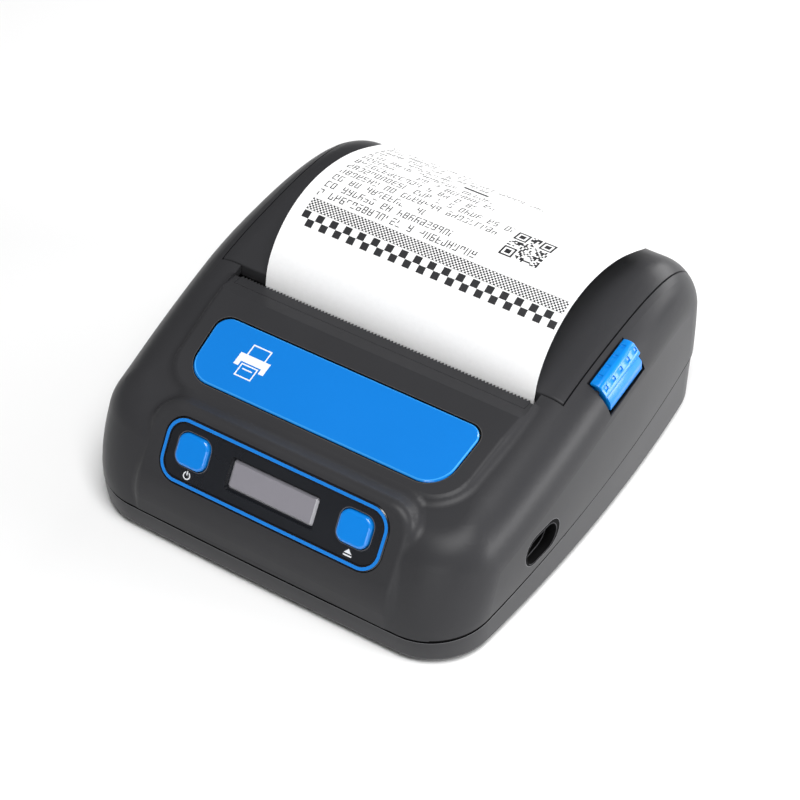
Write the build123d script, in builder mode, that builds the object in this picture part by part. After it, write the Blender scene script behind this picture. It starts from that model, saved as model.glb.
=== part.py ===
from build123d import *
import os
from math import atan2, cos, degrees, hypot, pi, radians, sin, sqrt

os.makedirs("parts", exist_ok=True)

# Portable receipt printer. Millimetres, X to the right, Y to the back, Z up.
# The origin lies under the middle of the case, on the surface that the feet stand on.

# case
case_width = 114.0
case_depth = 125.0
foot_height = 0.8
wall = 2.2
seat_gap = 0.3
groove_high = 0.45
groove_deep = 0.7
lid_gap = 0.4
side_bow = 4.0
front_bow = 0.5
corner_radius = 16.0
shoulder_radius = 12.0
front_y = -case_depth / 2
rear_y = case_depth / 2
floor_top = foot_height + wall
part_line_middle = 13.0
part_line_slope = 0.08
sky = 70.0
bottom_round = 1.8

# heights of the plan outlines that the case is drawn through, with the set-back of front and sides
upper_stations = [(6.0, 0.0, 0.7), (16.0, 1.6, 0.0), (28.0, 7.0, 0.1), (48.0, 17.5, 0.9)]
lower_stations = [(foot_height, 0.9, 0.7), (6.0, 0.25, 0.6), (16.0, 1.8, 0.35), (28.0, 7.2, 0.4)]

# side profile of deck and roll cover, as (y, z)
deck_rise = 0.249
cover_front = (-6.8, 42.6)
cover_line = [(14.6, 45.9), (35.0, 47.0), (47.0, 45.2), (55.5, 40.4), (61.5, 30.0)]
profile_end = (rear_y + 2, 16.0)
profile_past = 5.0
deck_low_y = front_y - 6
crest_thin_back = (40.0, 62.0)
crest_thin_drop = (46.0, 64.0)
crease_turn = 12.0

# sloping control panel on its raised island, as (y, z)
panel_top = (-51.6, 34.6)
panel_bottom = (-60.0, 20.4)
ring_width = 62.4
ring_corner = 5.5
ring_strip = 1.4
ring_depth = 1.6
ring_proud = 0.15
panel_sunk = 0.1
island_side = 5.6
island_top = 2.4
island_corner = 9.0
island_soften = 2.4
island_deep = 12.0
island_taper = 8.0
island_fold = 14.0

# badge on its raised plateau
badge_back = (-22.4, 40.3)
badge_front = (-40.6, 35.4)
badge_half_back = 37.3
badge_half_front = 35.9
badge_depth = 1.0
badge_proud = 0.2
badge_gap = 0.2
badge_corner_back = 3.8
badge_corner_front = 6.8
badge_edge = 0.35
plateau_line = [(-49.4, 33.05), badge_back, (-15.4, 41.6), (cover_front[0], 42.8)]
plateau_front_y = -43.6
plateau_half_front = 40.5
plateau_half_back = 47.6
plateau_corner = 12.0
plateau_soften = 1.6
plateau_base_z = 26.0
plateau_tall = 20.0
plateau_taper = 12.0
hollow_radius = 3.0
hollow_turn = 20.0
hollow_middle = 25.0

# paper slot and tear bar
slot_half = 42.8
tear_edge = (-9.4, 41.0)
dip_start = (-16.4, 41.6)
tear_half = 41.3
tear_thick = 0.5
tear_body = 2.8
tooth_depth = 0.7
tooth_count = 87
bar_gap = 0.1
bar_seat_back = 0.4

# roll cover and hinge
lid_half = 48.4
lid_skin = 1.8
lid_front_y = cover_front[0]
hinge_y = 52.0
hinge_z = 37.0
barrel_radius = 6.0
barrel_wall = 1.6
rod_radius = 1.5
running = 0.05
rod_hold = 0.02
rear_wall_top = 35.0
cheek_wall = 1.6
cheek = (-13.0, 59.0, 20.0)

# platen, gears and motor
platen_y = -2.4
platen_z = 35.5
platen_radius = 4.0
platen_left = -40.5
platen_right = 42.0
platen_shaft_radius = 1.5
arm_inner = 43.2
arm_width = 2.0
arm_radius = 4.2
bearing_radius = 2.6
gear_module = 0.6
platen_teeth = 13
idler_teeth = 22
pinion_teeth = 10
gear_left = -47.8
gear_width = 2.0
motor_angle = 225.5
motor_radius = 9.0
motor_length = 17.5
motor_shaft_radius = 1.0

# thermal head
head_gap = 0.7
head_ceramic = 0.9
head_plate_thick = 2.6
head_half = 41.5
head_low = 29.0
head_high = 36.8

# paper
paper_left = -34.5
paper_right = 41.7
paper_thick = 0.12
roll_radius = 18.5
roll_y = 25.0
core_radius = 6.5
core_bore = 5.2
tray_gap = 1.2
tray_skin = 1.4
tray_half = 43.6
tray_z = floor_top + tray_skin + tray_gap + roll_radius
roll_z = tray_z - tray_gap + seat_gap
curl_line = [
    (-8.45, 41.5),
    (-7.8, 45.3),
    (-6.0, 49.2),
    (-3.0, 53.0),
    (1.5, 56.5),
    (7.0, 58.8),
    (13.5, 59.9),
    (21.0, 59.5),
    (29.0, 57.7),
    (36.5, 54.6),
    (42.5, 50.6),
]

# buttons, as offsets from the middle of the panel
button_x = 22.8
button_width = 8.7
button_height = 8.1
button_corner = 2.5
button_proud = 0.9
button_gap = 0.3
button_travel = 0.8
button_up = 0.8
button_crown = 0.8
button_low = 1.8
flange_low = 2.8
flange_wide = 1.5
stem_radius = 2.4
stem_end = 4.2
stem_long = 1.6
switch_body = 0.8
switch_tip = 0.35
switch_width = 6.0
switch_tip_radius = 1.7
switch_gap = 0.25
key_board_far = -(stem_end + button_travel + switch_gap + switch_body + switch_tip)
key_board_shift = -1.0
key_board_height = 12.0
key_board_thick = 1.0
key_post_x = 31.5
key_post_radius = 1.8
window_width = 24.0
window_height = 7.3
window_bevel = 0.65
window_sunk = 0.3
window_lip = 1.0
lcd_far = 5.0
lcd_over = 4.6

# charging port on the right side
port_y = -27.5
port_z = 18.0
port_length = 12.0
port_height = 7.6
port_floor_x = 52.0
port_rim = 1.2
port_hole = (9.4, 3.6)
socket_width = 9.0
socket_height = 3.2
socket_deep = 7.2
socket_skin = 0.3
socket_mouth = 5.8

# release lever on the right shoulder
latch_front_y = 1.6
latch_back_y = 17.8
latch_gap = 0.4
latch_slope = 0.13
latch_level = 44.2
latch_section = [
    (50.7, -0.75),
    (53.6, -3.0),
    (56.0, -6.6),
    (56.2, -8.6),
    (53.4, -8.9),
    (51.6, -5.6),
    (50.7, -3.4),
]
latch_pivot = (52.3, -4.1)
latch_pin_radius = 0.6
latch_pin_end = 1.2
latch_edge = 0.9
latch_pocket = [(50.0, 9.0), (50.0, -9.4), (70.0, -9.9), (70.0, 9.0)]
latch_block = (49.2, 56.5, 33.5, 47.5)
latch_block_end = 2.6
nose_length = 6.0
nose_section = [(49.2, -7.4), (49.2, -6.2), (52.4, -4.4), (53.0, -6.9)]
nose_window = [(48.0, -9.2), (48.0, -5.0), (50.5, -4.0), (50.5, -9.2)]

# battery
cell_radius = 9.2
cell_ys = (-44.0, -25.5)
battery_left = -24.0
battery_right = 42.0
battery_z = floor_top + 0.6 + cell_radius
door = (-27.0, 45.0, -48.5, -11.5)
door_thick = 1.5
door_ledge = 2.0
door_gap = 0.2
grip_ribs = 6
grip_pitch = 2.4

screw_places = [(-47.0, -45.0), (47.0, -45.0), (-48.6, 47.0), (48.6, 47.0)]
boss_radius = 3.0
boss_top = 33.0
screw_radius = 1.2
screw_bite = 0.05
screw_clear = 0.15
screw_long = 17.0
screw_head = (2.2, 1.6)
counterbore = (2.5, 4.0)
foot_places = [(-37.0, -53.0, 3.2), (37.0, -53.0, 3.2), (-40.0, 50.0, 4.0), (40.0, 50.0, 4.0)]


def case_outline(inset, front_back, side_back):
    """Plan of the case: four bowed sides with large corners, drawn in by inset."""
    half = case_width / 2 - inset - side_back
    front = front_y + inset + front_back
    back = rear_y - inset
    narrow = half - side_bow
    middle = (front + back) / 2
    left_front = (-narrow, front + front_bow)
    right_front = (narrow, front + front_bow)
    right_back = (narrow, back - front_bow)
    left_back = (-narrow, back - front_bow)
    with BuildSketch(Plane.XY) as outline:
        with BuildLine():
            ThreePointArc(left_front, (0, front), right_front)
            ThreePointArc(right_front, (half, middle), right_back)
            ThreePointArc(right_back, (0, back), left_back)
            ThreePointArc(left_back, (-half, middle), left_front)
        make_face()
        fillet(outline.vertices(), corner_radius - inset)
    return outline.sketch


side_plane = Plane.YZ.offset(-case_width)
side_run = 2 * case_width


def case_shape(inset):
    """The closed upper case drawn in by inset: bowed sides, sloping front, curved top, soft shoulders."""
    with BuildPart() as shape:
        for height, front_back, side_back in upper_stations:
            with BuildSketch(Plane.XY.offset(height)):
                add(case_outline(inset, front_back, side_back))
        loft()
        start = (cover_front[0], cover_front[1] - inset)
        low = (deck_low_y, start[1] + (deck_low_y - start[0]) * deck_rise)
        end = (profile_end[0] - inset, profile_end[1])
        crest = []
        for y, z in cover_line:
            back_share = max(0.0, (y - crest_thin_back[0]) / (crest_thin_back[1] - crest_thin_back[0]))
            drop_share = min(1.0, (crest_thin_drop[1] - y) / (crest_thin_drop[1] - crest_thin_drop[0]))
            crest.append((y - inset * back_share, z - inset * drop_share))
        past_y = rear_y + profile_past
        with BuildSketch(side_plane):
            with BuildLine():
                Polyline(low, (low[0], sky), (past_y, sky), (past_y, end[1]), end)
                Spline([start] + crest + [end], tangents=[(1, deck_rise), (0.02, -1)])
                Line(low, start)
            make_face()
        extrude(amount=side_run, mode=Mode.SUBTRACT)
        chain = []
        for edge in shape.edges().filter_by(lambda e: e.center().Z > upper_stations[0][0] + 5):
            sides = [f for f in shape.faces() if any(edge.is_same(other) for other in f.edges())]
            if len(sides) == 2:
                turn = sides[0].normal_at(edge.center()).get_angle(sides[1].normal_at(edge.center()))
                if turn > crease_turn:
                    chain.append(edge)
        fillet(chain, shoulder_radius - inset)
    return shape.part


def case_lower(inset, grow):
    """The bottom shell's form up to above the parting line."""
    with BuildPart() as shape:
        for height, front_back, side_back in lower_stations:
            level = height + grow if height == foot_height else height
            with BuildSketch(Plane.XY.offset(level)):
                add(case_outline(inset, front_back, side_back))
        loft()
        fillet(shape.faces().sort_by(Axis.Z)[0].edges(), bottom_round)
    return shape.part


panel_length = hypot(panel_top[0] - panel_bottom[0], panel_top[1] - panel_bottom[1])
panel_angle = atan2(panel_top[1] - panel_bottom[1], panel_top[0] - panel_bottom[0])
panel_plane = Plane(
    origin=(0, (panel_top[0] + panel_bottom[0]) / 2, (panel_top[1] + panel_bottom[1]) / 2),
    x_dir=(1, 0, 0),
    z_dir=(0, -sin(panel_angle), cos(panel_angle)),
)
badge_angle = atan2(badge_back[1] - badge_front[1], badge_back[0] - badge_front[0])
badge_length = hypot(badge_back[0] - badge_front[0], badge_back[1] - badge_front[1])
badge_plane = Plane(
    origin=(0, (badge_back[0] + badge_front[0]) / 2, (badge_back[1] + badge_front[1]) / 2),
    x_dir=(1, 0, 0),
    z_dir=(0, -sin(badge_angle), cos(badge_angle)),
)
part_normal = (0, -part_line_slope, 1)
part_plane = Plane(origin=(0, 0, part_line_middle), x_dir=(1, 0, 0), z_dir=part_normal)

outer_form = case_shape(0.0)
inner_form = case_shape(wall)
lid_inner_form = case_shape(lid_skin)

# raised plateau round the badge
with BuildPart() as plateau:
    with BuildSketch(Plane.XY.offset(plateau_base_z)) as plateau_plan:
        with BuildLine():
            Polyline(
                (-plateau_half_front - 2, plateau_front_y - 2),
                (plateau_half_front + 2, plateau_front_y - 2),
                (plateau_half_back, lid_front_y),
                (-plateau_half_back, lid_front_y),
                close=True,
            )
        make_face()
        fillet(plateau_plan.vertices().group_by(Axis.Y)[0], plateau_corner)
    extrude(amount=plateau_tall, taper=plateau_taper)
    with BuildSketch(side_plane):
        with BuildLine():
            Polyline(*plateau_line)
            Polyline(plateau_line[-1], (lid_front_y, sky), (plateau_line[0][0], sky), plateau_line[0])
        make_face()
    extrude(amount=side_run, mode=Mode.SUBTRACT)
    rim = plateau.edges().filter_by(lambda e: e.center().Z > 34 and e.center().Y < lid_front_y - 2)
    rim = rim.filter_by(lambda e: abs(e.center().X) > 25 or e.center().Y < -42)
    fillet(rim, plateau_soften)

# raised island round the control panel, rounded over towards the parting line
with BuildPart() as island:
    with BuildSketch(panel_plane.offset(-island_deep)) as island_plan:
        with Locations((0, panel_length / 2 + island_top + 1.6)):
            Rectangle(ring_width + 2 * island_side + 3, 40, align=(Align.CENTER, Align.MAX))
        fillet(island_plan.vertices(), island_corner)
    extrude(amount=island_deep, taper=island_taper)
    with BuildSketch(Plane.XZ.offset(-front_y - 0.2)):
        Rectangle(case_width, 80)
    extrude(amount=30, mode=Mode.SUBTRACT)
    bend = island.edges().filter_by(lambda e: abs(e.center().X) < 1 and e.length > 30)
    bend = bend.filter_by(lambda e: e.center().Y < front_y + 1)
    bend = bend.sort_by(Axis.Z)[-1]
    fillet(bend, island_fold)
    ridge = island.edges().filter_by(lambda e: abs(panel_plane.to_local_coords(e.center()).Z) < 0.05)
    fillet(ridge, island_soften)


def creases(shape, low, front, back):
    """Creased edges off the middle, above a height and between two Y values."""
    found = []
    for edge in shape.edges():
        spot = edge.position_at(0.5)
        if spot.Z < low or not front < spot.Y < back or abs(spot.X) < hollow_middle:
            continue
        sides = [f for f in shape.faces() if any(edge.is_same(other) for other in f.edges())]
        if len(sides) == 2 and sides[0].normal_at(spot).get_angle(sides[1].normal_at(spot)) > hollow_turn:
            found.append(edge)
    return found


# outside of the upper case: island and plateau run into the body with soft hollows
with BuildPart() as blended:
    add(outer_form)
    add(plateau.part)
    add(island.part)
    hollows = creases(blended.part, 14.0, front_y - 1, plateau_front_y - 5)
    hollows += creases(blended.part, 30.0, plateau_front_y - 5, lid_front_y - 4)
    fillet(hollows, hollow_radius)


def ring_slab(plane, near, far, width, height, corner):
    """Rounded slab on a plane, from the near offset to the far offset along its normal."""
    with BuildPart() as slab:
        with BuildSketch(plane.offset(near)):
            RectangleRounded(width, height, corner)
        extrude(amount=far - near)
    return slab.part


def badge_outline(grow):
    """Outline of the badge on its plane, narrower to the front, grown by a gap all round."""
    half_back = badge_half_back + grow
    half_front = badge_half_front + grow
    half_high = badge_length / 2 + grow
    with BuildSketch(Plane.XY) as outline:
        with BuildLine():
            Polyline(
                (-half_back, half_high),
                (half_back, half_high),
                (half_front, -half_high),
                (-half_front, -half_high),
                close=True,
            )
        make_face()
        fillet(outline.vertices().group_by(Axis.Y)[-1], badge_corner_back + grow)
        fillet(outline.vertices().sort_by(Axis.Y)[:2], badge_corner_front + grow)
    return outline.sketch


def box_between(x0, x1, y0, y1, z0, z1):
    """Plain block between two corners."""
    with BuildPart() as block:
        with BuildSketch(Plane.XY.offset(z0)):
            with Locations(((x0 + x1) / 2, (y0 + y1) / 2)):
                Rectangle(x1 - x0, y1 - y0)
        extrude(amount=z1 - z0)
    return block.part


def rod_between(x0, x1, y, z, radius):
    """Round bar along X."""
    with BuildPart() as rod:
        with BuildSketch(Plane.YZ.offset(x0)):
            with Locations((y, z)):
                Circle(radius)
        extrude(amount=x1 - x0)
    return rod.part


def post_between(x, y, z0, z1, radius):
    """Round post along Z."""
    with BuildPart() as post:
        with BuildSketch(Plane.XY.offset(z0)):
            with Locations((x, y)):
                Circle(radius)
        extrude(amount=z1 - z0)
    return post.part


def side_slab(points, x0, x1):
    """Slab with a profile of (y, z) points, between two X values."""
    with BuildPart() as slab:
        with BuildSketch(Plane.YZ.offset(x0)):
            with BuildLine():
                Polyline(*points, close=True)
            make_face()
        extrude(amount=x1 - x0)
    return slab.part


ring_height = panel_length
panel_hole_width = ring_width - 2 * ring_strip
panel_hole_height = ring_height - 2 * ring_strip
ring_inner_corner = ring_corner - ring_strip

# release lever: its sections lie on a plane across the slope of the shoulder
latch_middle_y = (latch_front_y + latch_back_y) / 2
latch_plane = Plane(
    origin=(0, latch_middle_y, latch_level + 1.2),
    x_dir=(1, 0, 0),
    z_dir=(0, -1, -latch_slope),
)
latch_length = latch_back_y - latch_front_y

with BuildPart() as latch_lever:
    with BuildSketch(latch_plane.offset(-latch_length / 2)):
        with BuildLine():
            Polyline(*latch_section, close=True)
        make_face()
    extrude(amount=latch_length)
    with BuildSketch(latch_plane.offset(-nose_length / 2)):
        with BuildLine():
            Polyline(*nose_section, close=True)
        make_face()
    extrude(amount=nose_length)
    front_edges = latch_lever.edges().filter_by(
        lambda e: abs(latch_plane.to_local_coords(e.center()).Z - latch_length / 2) < 0.1
        and latch_plane.to_local_coords(e.center()).Y > -6.5
        and latch_plane.to_local_coords(e.center()).X > 51.5
    )
    chamfer(front_edges, latch_edge)
    with BuildSketch(latch_plane.offset(-latch_length / 2)):
        with Locations(latch_pivot):
            Circle(latch_pin_radius + running)
    extrude(amount=latch_length, mode=Mode.SUBTRACT)
latch_lever.part.label = "latch_lever"
export_step(latch_lever.part, "parts/latch_lever.step")

latch_pocket_length = latch_length + 2 * latch_gap
latch_pin_length = latch_pocket_length + 2 * latch_pin_end
with BuildPart() as latch_pin:
    with BuildSketch(latch_plane.offset(-latch_pin_length / 2)):
        with Locations(latch_pivot):
            Circle(latch_pin_radius)
    extrude(amount=latch_pin_length)
latch_pin.part.label = "latch_pin"
export_step(latch_pin.part, "parts/latch_pin.step")

# upper case
hinge_sink_box = box_between(-lid_half - lid_gap, lid_half + lid_gap, lid_front_y - lid_gap, hinge_y, 0, sky)
with BuildPart() as upper_case:
    add(blended.part)
    split(bisect_by=part_plane.offset(seat_gap), keep=Keep.TOP)
    add(inner_form, mode=Mode.SUBTRACT)
    # side walls of the roll bay
    for side in (-1, 1):
        near = side * (lid_half + lid_gap)
        far = side * (lid_half + lid_gap + cheek_wall)
        add(box_between(min(near, far), max(near, far), *cheek, sky))
    # solid blocks behind the release lever and the charging port, and posts for the case screws
    block_x0, block_x1, block_low, block_high = latch_block
    block_ys = (latch_front_y - latch_block_end, latch_back_y + latch_block_end)
    add(box_between(block_x0, block_x1, *block_ys, block_low, block_high))
    with BuildSketch(Plane.YZ.offset(port_floor_x - port_rim)):
        with Locations((port_y, port_z)):
            SlotOverall(port_length + 2 * port_rim, port_height + 2 * port_rim)
    extrude(amount=port_rim + 3.0)
    for x, y in screw_places:
        level = part_line_middle + part_line_slope * y + seat_gap
        add(post_between(x, y, level + 0.25, boss_top, boss_radius))
    # two posts that carry the key board
    with BuildSketch(panel_plane.offset(key_board_far)):
        with Locations((-key_post_x, key_board_shift), (key_post_x, key_board_shift)):
            Circle(key_post_radius)
    extrude(amount=5.0)
    with BuildSketch(Plane.XY):
        Rectangle(3 * case_width, 3 * case_depth)
    extrude(amount=sky, mode=Mode.INTERSECT)
with BuildPart() as upper_limit:
    add(blended.part)
    split(bisect_by=part_plane.offset(seat_gap), keep=Keep.TOP)
with BuildPart() as upper_cut:
    add(upper_case.part)
    add(upper_limit.part, mode=Mode.INTERSECT)
    # paper slot, opening for the cover, and the hollow for its barrel
    add(box_between(-slot_half, slot_half, tear_edge[0] - 0.2, lid_front_y + 2, 0, sky), mode=Mode.SUBTRACT)
    add(hinge_sink_box, mode=Mode.SUBTRACT)
    half_bay = lid_half + lid_gap
    add(rod_between(-half_bay, half_bay, hinge_y, hinge_z, barrel_radius + lid_gap), mode=Mode.SUBTRACT)
    add(box_between(-half_bay, half_bay, hinge_y - 1, rear_y + 5, rear_wall_top, sky), mode=Mode.SUBTRACT)
    # the deck dips to the tear edge between the ends of the slot
    dip = [dip_start, tear_edge, (lid_front_y, tear_edge[1]), (lid_front_y, sky), (dip_start[0], sky)]
    add(side_slab(dip, -slot_half, slot_half), mode=Mode.SUBTRACT)
    bar_back = tear_edge[0] + bar_seat_back
    bar_rise = (dip_start[1] - tear_edge[1]) / (dip_start[0] - tear_edge[0])
    bar_seat_depth = tear_thick + 0.01
    bar_front = tear_edge[0] - tear_body - bar_gap
    seat_front_z = tear_edge[1] + (bar_front - tear_edge[0]) * bar_rise
    bar_seat = [
        (bar_front, seat_front_z + 3),
        (bar_front, seat_front_z - bar_seat_depth),
        (bar_back, tear_edge[1] + (bar_back - tear_edge[0]) * bar_rise - bar_seat_depth),
        (bar_back, tear_edge[1] + 3),
    ]
    add(side_slab(bar_seat, -tear_half - bar_gap, tear_half + bar_gap), mode=Mode.SUBTRACT)
    # seats of the control panel and the badge, with holes for window and buttons
    ring_hole_w = ring_width + 0.4
    ring_hole_h = ring_height + 0.4
    ring_hole = ring_slab(panel_plane, -ring_depth, 6, ring_hole_w, ring_hole_h, ring_corner + 0.2)
    add(ring_hole, mode=Mode.SUBTRACT)
    add(ring_slab(panel_plane, -12, 0, window_width + 5, window_height + 4.4, 1.0), mode=Mode.SUBTRACT)
    for side in (-1, 1):
        with BuildSketch(panel_plane.offset(-12)):
            with Locations((side * button_x, button_up)):
                RectangleRounded(button_width + 2.2, button_height + 2.2, button_corner)
        extrude(amount=12, mode=Mode.SUBTRACT)
    with BuildSketch(badge_plane.offset(-badge_depth)):
        add(badge_outline(badge_gap))
    extrude(amount=8, mode=Mode.SUBTRACT)
    # pocket of the release lever, its pin and the window for its nose
    with BuildSketch(latch_plane.offset(-latch_pocket_length / 2)):
        with BuildLine():
            Polyline(*latch_pocket, close=True)
        make_face()
    extrude(amount=latch_pocket_length, mode=Mode.SUBTRACT)
    with BuildSketch(latch_plane.offset(-latch_pin_length / 2)):
        with Locations(latch_pivot):
            Circle(latch_pin_radius + rod_hold)
    extrude(amount=latch_pin_length, mode=Mode.SUBTRACT)
    with BuildSketch(latch_plane.offset(-nose_length / 2 - 0.5)):
        with BuildLine():
            Polyline(*nose_window, close=True)
        make_face()
    extrude(amount=nose_length + 1, mode=Mode.SUBTRACT)
    # charging port, screw bores and hinge bores
    with BuildSketch(Plane.YZ.offset(port_floor_x)):
        with Locations((port_y, port_z)):
            SlotOverall(port_length, port_height)
    extrude(amount=12, mode=Mode.SUBTRACT)
    with BuildSketch(Plane.YZ.offset(port_floor_x - 3)):
        with Locations((port_y, port_z)):
            RectangleRounded(*port_hole, 1.2)
    extrude(amount=6, mode=Mode.SUBTRACT)
    for x, y in screw_places:
        add(post_between(x, y, 5, 26, screw_radius + screw_bite), mode=Mode.SUBTRACT)
    rod_half = half_bay + cheek_wall
    add(rod_between(-rod_half, rod_half, hinge_y, hinge_z, rod_radius + rod_hold), mode=Mode.SUBTRACT)
upper_cut.part.label = "upper_case"
export_step(upper_cut.part, "parts/upper_case.step")

# bottom case
board_z = 24.0
board_thick = 1.6
board = (-38.0, 48.0, -41.5, -17.0)
board_posts = [(-34.0, -38.0), (-34.0, -22.0), (45.0, -38.0), (45.0, -20.0)]
charge_board_z = port_z - 2.8
lower_form = case_lower(0.0, 0.0)
lower_hollow = case_lower(wall, wall)
door_x0, door_x1, door_y0, door_y1 = door
# shadow groove along the top edge of the bottom case
with BuildPart() as groove:
    add(lower_form)
    add(case_lower(groove_deep, 0.0), mode=Mode.SUBTRACT)
    split(bisect_by=part_plane.offset(-groove_high), keep=Keep.TOP)
with BuildPart() as bottom_case:
    add(lower_form)
    add(lower_hollow, mode=Mode.SUBTRACT)
    for x, y in screw_places:
        add(post_between(x, y, floor_top - 0.5, 19.0, boss_radius))
    add(lower_form, mode=Mode.INTERSECT)
    split(bisect_by=part_plane, keep=Keep.BOTTOM)
    add(groove.part, mode=Mode.SUBTRACT)
    for x, y in board_posts:
        add(post_between(x, y, floor_top - 0.5, board_z, 2.0))
    add(box_between(46.4, 47.6, -33.0, -22.0, floor_top - 0.5, charge_board_z))
    add(box_between(door_x0, door_x1, door_y0, door_y1, 0, foot_height + door_thick), mode=Mode.SUBTRACT)
    hole_xs = (door_x0 + door_ledge, door_x1 - door_ledge)
    hole_ys = (door_y0 + door_ledge, door_y1 - door_ledge)
    add(box_between(*hole_xs, *hole_ys, 0, floor_top + 0.2), mode=Mode.SUBTRACT)
    sink_radius, sink_top = counterbore
    for x, y in screw_places:
        add(post_between(x, y, 0, 30, screw_radius + screw_clear), mode=Mode.SUBTRACT)
        add(post_between(x, y, 0, sink_top, sink_radius), mode=Mode.SUBTRACT)
    for x, y, radius in foot_places:
        add(post_between(x, y, 0, foot_height + 0.5, radius), mode=Mode.SUBTRACT)
bottom_case.part.label = "bottom_case"
export_step(bottom_case.part, "parts/bottom_case.step")

with BuildPart() as battery_cover:
    cover_xs = (door_x0 + door_gap, door_x1 - door_gap)
    cover_ys = (door_y0 + door_gap, door_y1 - door_gap)
    add(box_between(*cover_xs, *cover_ys, foot_height, foot_height + door_thick))
    fillet(battery_cover.edges().filter_by(Axis.Z), 1.5)
    with BuildSketch(Plane.XY.offset(foot_height)):
        with GridLocations(0, grip_pitch, 1, grip_ribs):
            with Locations((door_x0 + 13, (door_y0 + door_y1) / 2)):
                SlotOverall(14, 1.0)
    extrude(amount=0.5, mode=Mode.SUBTRACT)
battery_cover.part.label = "battery_cover"
export_step(battery_cover.part, "parts/battery_cover.step")

with BuildPart() as rubber_feet:
    for x, y, radius in foot_places:
        add(post_between(x, y, 0, foot_height + 0.5, radius - 0.1))
    chamfer(rubber_feet.edges().group_by(Axis.Z)[0], 0.3)
rubber_feet.part.label = "rubber_feet"
export_step(rubber_feet.part, "parts/rubber_feet.step")

head_radius, head_tall = screw_head
with BuildPart() as case_screws:
    for x, y in screw_places:
        add(post_between(x, y, sink_top - head_tall, sink_top, head_radius))
        add(post_between(x, y, sink_top, sink_top + screw_long, screw_radius))
        with BuildSketch(Plane.XY.offset(sink_top - head_tall)):
            with Locations((x, y)):
                Rectangle(2.6, 0.6)
                Rectangle(0.6, 2.6)
        extrude(amount=0.9, mode=Mode.SUBTRACT)
case_screws.part.label = "case_screws"
export_step(case_screws.part, "parts/case_screws.step")

with BuildPart() as battery_pack:
    with BuildSketch(Plane.YZ.offset(battery_left)):
        with Locations(((cell_ys[0] + cell_ys[1]) / 2, battery_z)):
            SlotOverall(cell_ys[1] - cell_ys[0] + 2 * cell_radius, 2 * cell_radius)
    extrude(amount=battery_right - battery_left)
    chamfer(battery_pack.faces().filter_by(GeomType.PLANE).filter_by(Axis.X).edges(), 0.6)
battery_pack.part.label = "battery_pack"
export_step(battery_pack.part, "parts/battery_pack.step")

chips = [(-8, -30, 12, 12, 1.2), (14, -33, 8, 6, 1.0), (26, -24, 6, 8, 1.6), (-26, -32, 5, 7, 1.4)]
with BuildPart() as main_board:
    add(box_between(*board, board_z, board_z + board_thick))
    fillet(main_board.edges().filter_by(Axis.Z), 1.5)
    for x, y, long_x, long_y, tall in chips:
        half_x = long_x / 2
        half_y = long_y / 2
        top = board_z + board_thick
        add(box_between(x - half_x, x + half_x, y - half_y, y + half_y, top, top + tall))
main_board.part.label = "main_board"
export_step(main_board.part, "parts/main_board.step")

with BuildPart() as charge_board:
    add(box_between(44.0, port_floor_x - 1.6, -34.0, -22.6, charge_board_z, charge_board_z + 1.2))
charge_board.part.label = "charge_board"
export_step(charge_board.part, "parts/charge_board.step")

with BuildPart() as usb_socket:
    with BuildSketch(Plane.YZ.offset(port_floor_x - socket_deep)):
        with Locations((port_y, port_z)):
            RectangleRounded(socket_width, socket_height, 1.1)
    extrude(amount=socket_deep)
    with BuildSketch(Plane.YZ.offset(port_floor_x - socket_mouth)):
        with Locations((port_y, port_z)):
            RectangleRounded(socket_width - 2 * socket_skin, socket_height - 2 * socket_skin, 0.9)
            Rectangle(6.6, 0.7, mode=Mode.SUBTRACT)
    extrude(amount=6, mode=Mode.SUBTRACT)
usb_socket.part.label = "usb_socket"
export_step(usb_socket.part, "parts/usb_socket.step")

# control panel, its trim ring, display and buttons
with BuildPart() as panel_ring:
    add(ring_slab(panel_plane, -ring_depth, ring_proud, ring_width, ring_height, ring_corner))
    chamfer(panel_ring.faces().sort_by(lambda f: panel_plane.to_local_coords(f.center()).Z)[-1].edges(), 0.25)
    hole_w = panel_hole_width
    hole_h = panel_hole_height
    add(ring_slab(panel_plane, -6, 3, hole_w, hole_h, ring_inner_corner), mode=Mode.SUBTRACT)
panel_ring.part.label = "panel_ring"
export_step(panel_ring.part, "parts/panel_ring.step")

with BuildPart() as control_panel:
    fit = 0.1
    plate_w = panel_hole_width - 2 * fit
    plate_h = panel_hole_height - 2 * fit
    add(ring_slab(panel_plane, -ring_depth, -panel_sunk, plate_w, plate_h, ring_inner_corner - fit))
    for side in (-1, 1):
        with BuildSketch(panel_plane.offset(-3)):
            with Locations((side * button_x, button_up)):
                hole_width = button_width + 2 * button_gap
                hole_height = button_height + 2 * button_gap
                RectangleRounded(hole_width, hole_height, button_corner + button_gap)
        extrude(amount=4, mode=Mode.SUBTRACT)
    add(ring_slab(panel_plane, -3, 1, window_width, window_height, 0.6), mode=Mode.SUBTRACT)
    lip = ring_slab(panel_plane, -0.7, 1, window_width + window_lip, window_height + window_lip, 0.8)
    add(lip, mode=Mode.SUBTRACT)
control_panel.part.label = "control_panel"
export_step(control_panel.part, "parts/control_panel.step")

with BuildPart() as display_window:
    fit = 0.1
    add(ring_slab(panel_plane, -ring_depth, -window_sunk, window_width - fit, window_height - fit, 0.8))
    face = display_window.faces().sort_by(lambda f: panel_plane.to_local_coords(f.center()).Z)[-1]
    chamfer(face.edges(), window_bevel)
display_window.part.label = "display_window"
export_step(display_window.part, "parts/display_window.step")

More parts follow.
